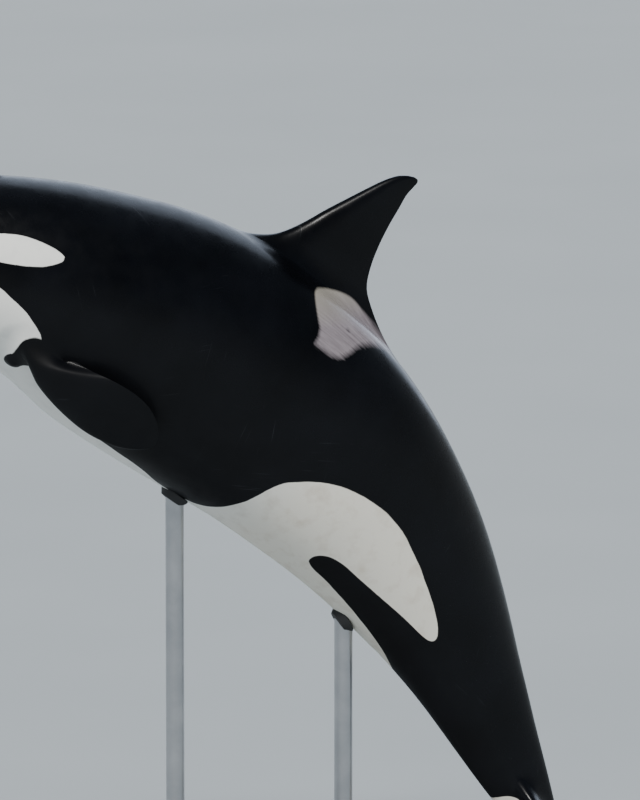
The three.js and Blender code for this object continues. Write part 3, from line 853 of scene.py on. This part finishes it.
def saddle_colour(m, place, flat, black):
    """Grey saddle patch over the black, streaked along the body.
    Its upper edge is sharper and smoother than its lower one."""
    streaks = m.noise(m.mapped(flat, scale=(5, 70, 1)), 1.0, 5.0, 0.65)
    grey = m.mix(m.remap(streaks, 0.3, 0.72), rgb(0.20, 0.172, 0.19), rgb(0.37, 0.33, 0.355))
    height = m.node("ShaderNodeSeparateXYZ", {"Vector": place}, output=2)
    grey = m.mix(m.remap(height, *SADDLE_TOP), grey, rgb(0.36, 0.335, 0.29))
    blur = m.remap(height, *SADDLE_EDGE, 38.0, 14.0)
    sway = m.remap(height, *SADDLE_EDGE, 36.0, 4.0)
    ragged = m.math("MULTIPLY", m.remap(streaks, 0.2, 0.8, -0.5, 0.5), sway)
    ragged = m.math("ADD", m.attribute("saddle"), ragged)
    cover = m.math("MULTIPLY", m.remap(m.math("DIVIDE", ragged, blur), -0.4, 0.7), 0.95)
    return m.mix(cover, black, grey)


def skin_material():
    """Wet black skin with its white, grey and scratched places."""
    m = Shader("orca_skin")
    place = m.place()
    station, around = m.attribute("station"), m.attribute("around")
    flat = m.node("ShaderNodeCombineXYZ", {"X": station, "Y": around})
    broad = m.noise(place, 1.7, 3.0)
    medium = m.noise(place, 9.0, 5.0)
    fine = m.noise(place, 70.0, 4.0)

    # Black, a little bluer and paler in broad clouds
    black = m.mix(m.remap(broad, 0.35, 0.7), rgb(0.0014, 0.0016, 0.0024), rgb(0.0036, 0.0042, 0.0062))
    marks = rake_marks(m, flat)
    black = m.mix(m.math("MULTIPLY", marks, 0.4), black, rgb(0.045, 0.05, 0.058))
    dark = saddle_colour(m, place, flat, black)

    # White, creamy on the flank, faintly clouded
    flank = m.remap(station, *CREAM)
    clean = m.mix(flank, rgb(0.92, 0.92, 0.88), rgb(0.93, 0.89, 0.79))
    stained = m.mix(flank, rgb(0.80, 0.81, 0.78), rgb(0.76, 0.69, 0.58))
    white = m.mix(m.remap(medium, 0.5, 0.8), clean, stained)
    wander = m.remap(medium, 0.3, 0.7, -2.5, 2.5)
    edge = m.remap(m.math("ADD", m.attribute("white"), wander), -2.2, 2.2)
    colour = m.mix(edge, dark, white)

    # Rougher on the white and low on the flank
    rough = m.remap(medium, 0.3, 0.75, 0.22, 0.36)
    rough = m.math("ADD", rough, m.math("MULTIPLY", edge, 0.12))
    rough = m.math("ADD", rough, m.remap(around, *ROUGH_FLANK, 0.0, 0.26))
    grain = m.bump(fine, 0.10, 0.0015)
    dents = m.math("SUBTRACT", medium, m.math("MULTIPLY", marks, 0.25))
    m.set(Base_Color=colour, Roughness=rough, Normal=m.bump(dents, 0.22, 0.006, grain))
    m.set(IOR=1.25, Coat_Weight=0.1, Coat_Roughness=0.13, Coat_IOR=1.33)
    return m.material


def eye_material():
    """Dark eye: pupil, brown iris and the ball round it, by the angle off its axis."""
    m = Shader("orca_eye")
    ring = m.attribute("ring")
    place = m.place()
    fibres = m.noise(place, 900.0, 3.0)
    iris = m.mix(fibres, rgb(0.010, 0.0055, 0.0035), rgb(0.030, 0.016, 0.009))
    ball = m.mix(m.remap(ring, 0.5, 0.62), iris, rgb(0.016, 0.011, 0.011))
    colour = m.mix(m.remap(ring, 0.2, 0.235), rgb(0.002, 0.002, 0.003), ball)
    m.set(Base_Color=colour, Roughness=0.05, IOR=1.24)
    return m.material


def steel_material():
    """Steel brushed along the rods."""
    m = Shader("brushed_steel")
    place = m.place()
    brushed = m.noise(m.mapped(place, scale=(260, 260, 5)), 1.0, 3.0)
    clouds = m.noise(place, 5.0, 4.0)
    colour = m.mix(m.remap(clouds, 0.3, 0.7), rgb(0.46, 0.47, 0.49), rgb(0.58, 0.585, 0.60))
    rough = m.remap(brushed, 0.25, 0.75, 0.28, 0.42)
    m.set(Base_Color=colour, Metallic=1.0, Roughness=rough, Normal=m.bump(brushed, 0.12, 0.0006))
    return m.material


def paint_material():
    """Matt grey paint of the base."""
    m = Shader("base_paint")
    place = m.place()
    grain = m.noise(place, 260.0, 4.0)
    clouds = m.noise(place, 2.4, 5.0)
    colour = m.mix(m.remap(clouds, 0.3, 0.7), rgb(0.155, 0.165, 0.175), rgb(0.19, 0.20, 0.21))
    rough = m.remap(clouds, 0.3, 0.7, 0.46, 0.58)
    m.set(Base_Color=colour, Roughness=rough, Normal=m.bump(grain, 0.18, 0.0006))
    return m.material


def rubber_material():
    """Black rubber of the cups."""
    m = Shader("rubber")
    place = m.place()
    grain = m.noise(place, 320.0, 3.0)
    colour = m.mix(grain, rgb(0.012, 0.012, 0.013), rgb(0.026, 0.026, 0.028))
    m.set(Base_Color=colour, Roughness=0.62, Normal=m.bump(grain, 0.25, 0.0008))
    return m.material


def floor_material():
    """Pale floor, faintly clouded."""
    m = Shader("floor")
    place = m.place()
    clouds = m.noise(place, 0.25, 3.0)
    colour = m.mix(m.remap(clouds, 0.3, 0.7), rgb(0.40, 0.44, 0.465), rgb(0.43, 0.47, 0.495))
    m.set(Base_Color=colour, Roughness=0.85)
    return m.material


def shade_by_angle(piece, degrees=35):
    """Shades a piece smooth, but for edges sharper than an angle."""
    bpy.context.view_layer.objects.active = piece
    piece.select_set(True)
    bpy.ops.object.shade_smooth_by_angle(angle=math.radians(degrees))
    piece.select_set(False)


def finish_piece(piece, material, replaced=()):
    """Gives a piece its material, hangs it under the root body's empty and hides the nodes it replaces."""
    piece.data.materials.clear()
    piece.data.materials.append(material)
    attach(piece, "root")
    if replaced:
        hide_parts(*replaced)


def keep_sharp(mesh, places):
    """Leaves edges sharp only near the places."""
    ends = np.zeros(len(mesh.edges) * 2, np.int32)
    mesh.edges.foreach_get("vertices", ends)
    co = points_of(mesh)[ends[::2]]
    away = np.min([np.linalg.norm(co - place, axis=1) for place in places], axis=0)
    layer = mesh.attributes["sharp_edge"]
    sharp = np.zeros(len(mesh.edges), bool)
    layer.data.foreach_get("value", sharp)
    layer.data.foreach_set("value", sharp & (away < SHARP_REACH))


def orca_skin():
    """One skin over the whole animal, with fins grown out of it and the markings on it."""
    body = body_mesh()
    fin_seams = join(body, [dorsal_fin(), flukes()])
    flipper_seams = join(body, [flipper(1), flipper(-1)])
    sharp = []
    for side in (1, -1):
        seam = flipper_seams[flipper_seams[:, 1] * side > 0]
        sharp.append(seam[seam[:, 0].argmax()])
        weld(body.data, seam)
    soften(body.data, np.vstack([fin_seams, flipper_seams]), sharp)
    mark_skin(body.data)
    shade_by_angle(body, SHARP_ANGLE)
    keep_sharp(body.data, sharp)
    flesh = [
        "head", "lower_jaw", "chest", "torso", "loin", "tail_stock", "dorsal_fin",
        "flipper_left", "flipper_right", "fluke_left", "fluke_right",
    ]
    finish_piece(body, skin_material(), flesh)


def eyeball(side, rows=64, columns=96):
    """Rings of an eyeball from its front to its back, with a raised cornea, and their angles."""
    at = np.array(float(EYE_STATION)), np.array(side * math.radians(EYE_TURN))
    point, _, down, out = skin_frame(*at)
    level = np.cross(down, out)
    tilt = np.linspace(0, math.pi, rows)[:, None]
    spin = np.linspace(0, 2 * math.pi, columns, endpoint=False)[None, :]
    radius = EYE_RADIUS + form(tilt, *CORNEA) - CORNEA_SINK
    spoke = level * np.cos(spin)[..., None] + down * np.sin(spin)[..., None]
    ball = (out * np.cos(tilt)[..., None] + spoke * np.sin(tilt)[..., None]) * radius[..., None]
    return point - out * EYE_SINK + ball, tilt[:, 0]


def eyes():
    """Eyeballs set behind the lids."""
    material = eye_material()
    for name, side in (("left", 1), ("right", -1)):
        ball, tilt = eyeball(side)
        rows, columns = ball.shape[0] - 2, ball.shape[1]
        points = np.vstack([ball[1:-1].reshape(-1, 3), ball[0, 0], ball[-1, 0]])
        eye = make_mesh(f"orca_eye_{name}", points, closed_quads(rows, columns))
        ring = np.concatenate([np.repeat(tilt[1:-1], columns), tilt[[0, -1]]])
        layer = eye.data.attributes.new("ring", "FLOAT", "POINT")
        layer.data.foreach_set("value", ring.astype(np.float32))
        eye.data.polygons.foreach_set("use_smooth", np.ones(len(eye.data.polygons), bool))
        finish_piece(eye, material, [f"eye_{name}"])


def lathe(name, profile, at, steps=96):
    """Turned piece round a vertical axis: radius and height pairs, in metres."""
    spin = np.linspace(0, 2 * math.pi, steps, endpoint=False)
    radius, height = np.array(profile, float).T[:, :, None]
    rings = vector(radius * np.cos(spin), radius * np.sin(spin), height) + at
    faces = quads(len(profile), steps).tolist()
    faces.append(list(range(steps))[::-1])
    faces.append(list(range((len(profile) - 1) * steps, len(profile) * steps)))
    return make_mesh(name, rings.reshape(-1, 3) / MM, faces)


def turned(name, profile, at, material, replaced=(), steps=96):
    """Turned and finished piece of the stand."""
    piece = lathe(name, profile, at, steps)
    shade_by_angle(piece)
    finish_piece(piece, material, replaced)


def stand():
    """Finely turned rods and flanges, with bolts and rubber cups, and a painted base."""
    steel, rubber = steel_material(), rubber_material()
    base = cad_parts["stand_base"].data.materials
    base.clear()
    base.append(paint_material())
    for end in ("front", "rear"):
        low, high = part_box(f"stand_rod_{end}")
        x, radius = (low.x + high.x) / 2, (high.x - low.x) / 2
        profile = [(radius, 0), (radius, high.z - low.z)]
        turned(f"stand_tube_{end}", profile, (x, 0, low.z), steel, [f"stand_rod_{end}"])
        flange(end, x, radius + FLANGE_GAP, steel)
        cup(end, x, radius, rubber)


def flange(end, x, inner, steel):
    """Flange round a rod's foot, with its ring of bolts."""
    low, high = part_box(f"stand_flange_{end}")
    outer, height = (high.x - low.x) / 2, high.z - low.z
    rim = height * FLANGE_RIM
    profile = [
        (inner, 0), (outer, 0), (outer, rim), (outer - FLANGE_EDGE, rim + FLANGE_EDGE),
        (inner + HUB_FOOT, height / 2 + FLANGE_EDGE), (inner + HUB_TOP, height), (inner, height),
    ]
    turned(f"stand_foot_{end}", profile, (x, 0, low.z), steel, [f"stand_flange_{end}"])
    bolts(end, x, low.z + rim + FLANGE_EDGE * 0.6, outer * BOLT_CIRCLE, steel)


def bolts(end, x, z, circle, steel):
    """Ring of bolts on washers."""
    for i in range(BOLTS):
        turn = 2 * math.pi * (i + 0.5) / BOLTS
        at = (x + circle * math.cos(turn), circle * math.sin(turn), z)
        turned(f"stand_bolt_{end}_{i + 1}", WASHER + BOLT_HEAD, at, steel, steps=24)


def cup(end, x, radius, rubber):
    """Rubber cup where a rod meets the belly, square to the skin."""
    stations = np.arange(*CUP_STATIONS, 2.0)
    belly = skin(stations, np.full_like(stations, math.pi)) * MM
    i = int(np.argmin(np.abs(belly[:, 0] - x)))
    _, _, up = frame_at(np.array(stations[i]))
    piece = lathe(f"stand_cup_{end}", [(radius * share, height) for share, height in CUP], (0, 0, 0))
    lean = Vector((0, 0, 1)).rotation_difference(Vector(up)).to_matrix().to_4x4()
    piece.data.transform(Matrix.Translation(Vector(belly[i])) @ lean)
    shade_by_angle(piece)
    finish_piece(piece, rubber)


def camera():
    """Long lens at the photo's angle, framed so that the pinned point falls on its pixel."""
    yaw, elevation = math.radians(VIEW_YAW), math.radians(VIEW_ELEVATION)
    right = Vector((math.cos(yaw), -math.sin(yaw), 0))
    level = math.cos(elevation)
    ahead = Vector((math.sin(yaw) * level, math.cos(yaw) * level, -math.sin(elevation)))
    up = right.cross(ahead)
    pin = Vector((BODY_X, 0, BODY_Z)) * MM
    centre = pin + right * ((PIXELS_WIDE / 2 - PIN_PIXEL[0]) / PIXELS_PER_METRE)
    centre = centre - up * ((PIXELS_HIGH / 2 - PIN_PIXEL[1]) / PIXELS_PER_METRE)
    data = bpy.data.cameras.new("camera")
    data.sensor_width = SENSOR
    data.lens = SENSOR * VIEW_DISTANCE * PIXELS_PER_METRE / PIXELS_HIGH
    data.clip_end = VIEW_FAR
    made = bpy.data.objects.new("camera", data)
    bpy.context.scene.collection.objects.link(made)
    basis = Matrix((right, up, -ahead)).transposed().to_4x4()
    made.matrix_world = Matrix.Translation(centre - ahead * VIEW_DISTANCE) @ basis
    bpy.context.scene.camera = made


def sun(name, toward, strength, spread, colour):
    """Soft light from far away, from the side that toward points to, spread in degrees."""
    data = bpy.data.lights.new(name, "SUN")
    data.energy = strength
    data.angle = math.radians(spread)
    data.color = colour
    light = bpy.data.objects.new(name, data)
    bpy.context.scene.collection.objects.link(light)
    light.rotation_euler = (-Vector(toward)).to_track_quat("-Z", "Y").to_euler()


def studio():
    """Plain pale floor, soft light from above and a pale surround."""
    profile = [(0.001, -FLOOR_THICK), (FLOOR_RADIUS, -FLOOR_THICK), (FLOOR_RADIUS, 0), (0.001, 0)]
    floor = lathe("floor", profile, (0, 0, 0), 128)
    floor.data.materials.append(floor_material())
    for light in SUNS:
        sun(*light)
    world = bpy.data.worlds.new("surround")
    world.use_nodes = True
    nodes, links = world.node_tree.nodes, world.node_tree.links
    place = nodes.new("ShaderNodeTexCoord")
    split = nodes.new("ShaderNodeSeparateXYZ")
    ramp = nodes.new("ShaderNodeValToRGB")
    links.new(place.outputs["Generated"], split.inputs[0])
    links.new(split.outputs["Z"], ramp.inputs[0])
    links.new(ramp.outputs[0], nodes["Background"].inputs["Color"])
    for stop, (position, colour) in zip(ramp.color_ramp.elements, SURROUND):
        stop.position, stop.color = position, colour
    nodes["Background"].inputs["Strength"].default_value = 1.0
    bpy.context.scene.world = world


orca_skin()
eyes()
stand()
camera()
studio()
